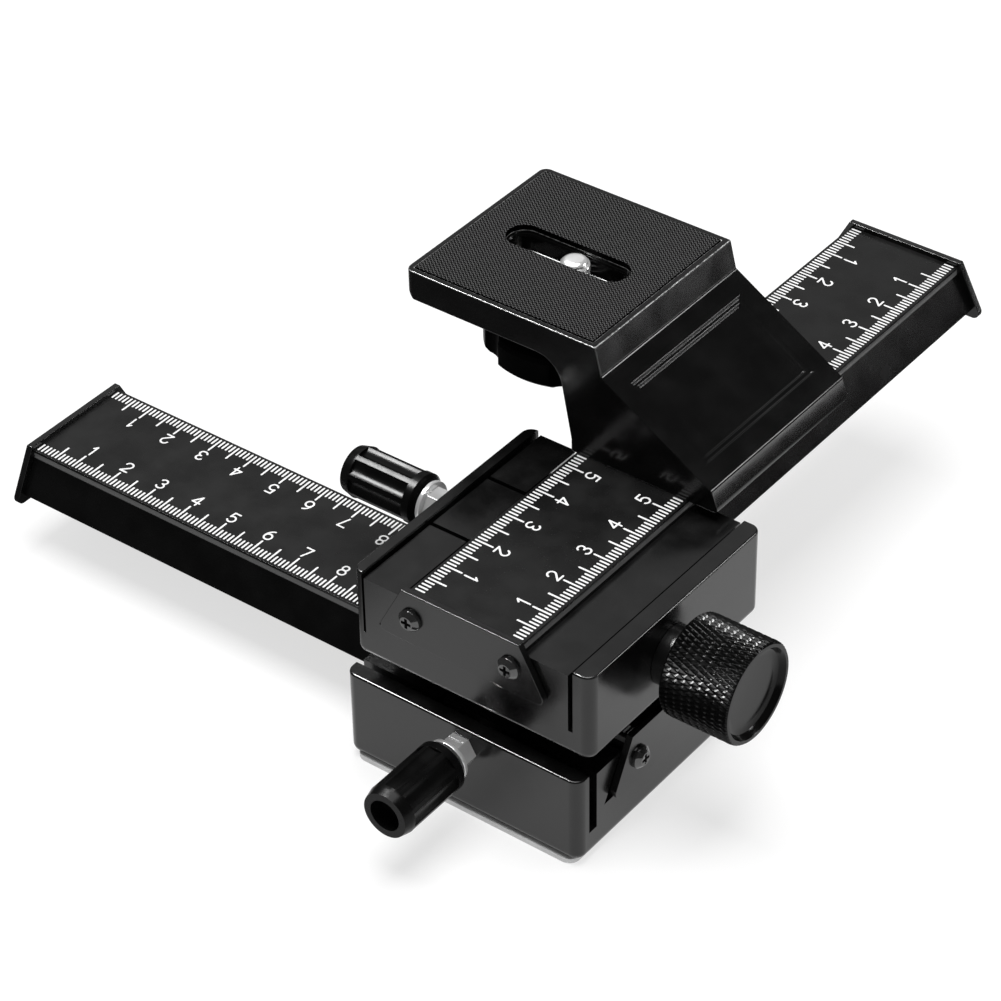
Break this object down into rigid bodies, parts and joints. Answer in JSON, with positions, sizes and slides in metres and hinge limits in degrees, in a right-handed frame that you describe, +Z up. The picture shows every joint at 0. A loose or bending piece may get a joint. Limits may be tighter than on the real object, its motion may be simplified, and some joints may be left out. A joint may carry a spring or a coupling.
{
  "type": "macro focusing rail",
  "caption": "Macro focusing rail: crossed dovetail rails, each with rack and pinion drive and a lock, under a cranked camera platform with a captive screw.",
  "frame": {"origin": "mouth of the tripod socket, in the middle of the base block, on the resting plane", "axes": "+Z up; the lower rail lies along X and slides towards +X; the upper rail lies along Y and slides towards -Y"},
  "size_m": [0.1834, 0.1872, 0.0774],
  "materials": {
    "cast_black": "satin black paint with a fine grain",
    "rail_black": "black anodised, satin",
    "scale_black": "black with white millimetre marks and numerals",
    "plate_black": "satin black",
    "screw_black": "black oxide",
    "rack_brass": "machined",
    "shaft_steel": "ground",
    "bright_steel": "bright turned",
    "bush_black": "black anodised",
    "knob_black": "black anodised, knurled",
    "lock_plastic": "glossy black",
    "camera_knob_plastic": "satin black",
    "nylon": "natural nylon",
    "pad_rubber": "black rubber with a fine woven face",
    "base_rubber": "black rubber, matt"
  },
  "bodies": {
    "base": {"base_block": "cast_black", "base_pad": "base_rubber", "tripod_bush": "bright_steel", "lower_focus_bush": "bush_black", "lower_lock_bush": "bright_steel"},
    "lower_carriage": {"lower_rail": "rail_black", "lower_rack": "rack_brass", "lower_rack_screws": "screw_black", "lower_scale_plate": "scale_black", "lower_near_end_plate": "plate_black", "lower_far_end_plate": "plate_black", "lower_end_screws": "screw_black", "riser_plate": "cast_black", "riser_screws": "screw_black", "upper_block": "cast_black", "upper_focus_bush": "bush_black", "upper_lock_bush": "bright_steel"},
    "upper_carriage": {"upper_rail": "rail_black", "upper_rack": "rack_brass", "upper_rack_screws": "screw_black", "upper_scale_plate": "scale_black", "upper_near_end_plate": "plate_black", "upper_far_end_plate": "plate_black", "upper_end_screws": "screw_black", "camera_bracket": "cast_black", "bracket_screws": "screw_black", "camera_pad": "pad_rubber"},
    "lower_drive": {"lower_pinion_shaft": "shaft_steel", "lower_focus_knob": "knob_black", "lower_knob_screw": "screw_black"},
    "upper_drive": {"upper_pinion_shaft": "shaft_steel", "upper_focus_knob": "knob_black", "upper_knob_screw": "screw_black"},
    "lower_lock": {"lower_lock_screw": "bright_steel", "lower_lock_knob": "lock_plastic"},
    "upper_lock": {"upper_lock_screw": "bright_steel", "upper_lock_knob": "lock_plastic"},
    "screw_guide": {"slot_washer": "bright_steel"},
    "screw_stop": {"knob_washer": "nylon"},
    "camera_screw": {"camera_screw": "bright_steel", "camera_knob": "camera_knob_plastic"}
  },
  "joints": [
    {"name": "lower_rail_slide", "type": "slide", "parent": "base", "child": "lower_carriage", "axis": [1, 0, 0], "range_m": [0, 0.1]},
    {"name": "lower_focus_turn", "type": "hinge", "parent": "base", "child": "lower_drive", "pos_m": [0.0028, 0, 0.0113], "axis": [0, 1, 0], "range_deg": [0, 1640]},
    {"name": "lower_lock_turn", "type": "hinge", "parent": "base", "child": "lower_lock", "pos_m": [0.0004, -0.029, 0.0169], "axis": [0, -1, 0], "range_deg": [0, 360]},
    {"name": "upper_rail_slide", "type": "slide", "parent": "lower_carriage", "child": "upper_carriage", "axis": [0, -1, 0], "range_m": [0, 0.1]},
    {"name": "upper_focus_turn", "type": "hinge", "parent": "lower_carriage", "child": "upper_drive", "pos_m": [0, -0.001, 0.0373], "axis": [1, 0, 0], "range_deg": [0, 1640]},
    {"name": "upper_lock_turn", "type": "hinge", "parent": "lower_carriage", "child": "upper_lock", "pos_m": [-0.0274, 0.0037, 0.0429], "axis": [-1, 0, 0], "range_deg": [0, 360]},
    {"name": "camera_screw_slide", "type": "slide", "parent": "upper_carriage", "child": "screw_guide", "axis": [1, 0, 0], "range_m": [-0.0125, 0]},
    {"name": "camera_screw_lift", "type": "slide", "parent": "screw_guide", "child": "screw_stop", "axis": [0, 0, 1], "range_m": [0, 0.0055]},
    {"name": "camera_screw_turn", "type": "hinge", "parent": "screw_stop", "child": "camera_screw", "pos_m": [-0.0309, 0.0518, 0.06], "axis": [0, 0, 1], "continuous": true}
  ],
  "couplings": [
    {"joint": "lower_focus_turn", "follows": "lower_rail_slide", "rad_per_m": 285.71},
    {"joint": "upper_focus_turn", "follows": "upper_rail_slide", "rad_per_m": 285.71}
  ]
}
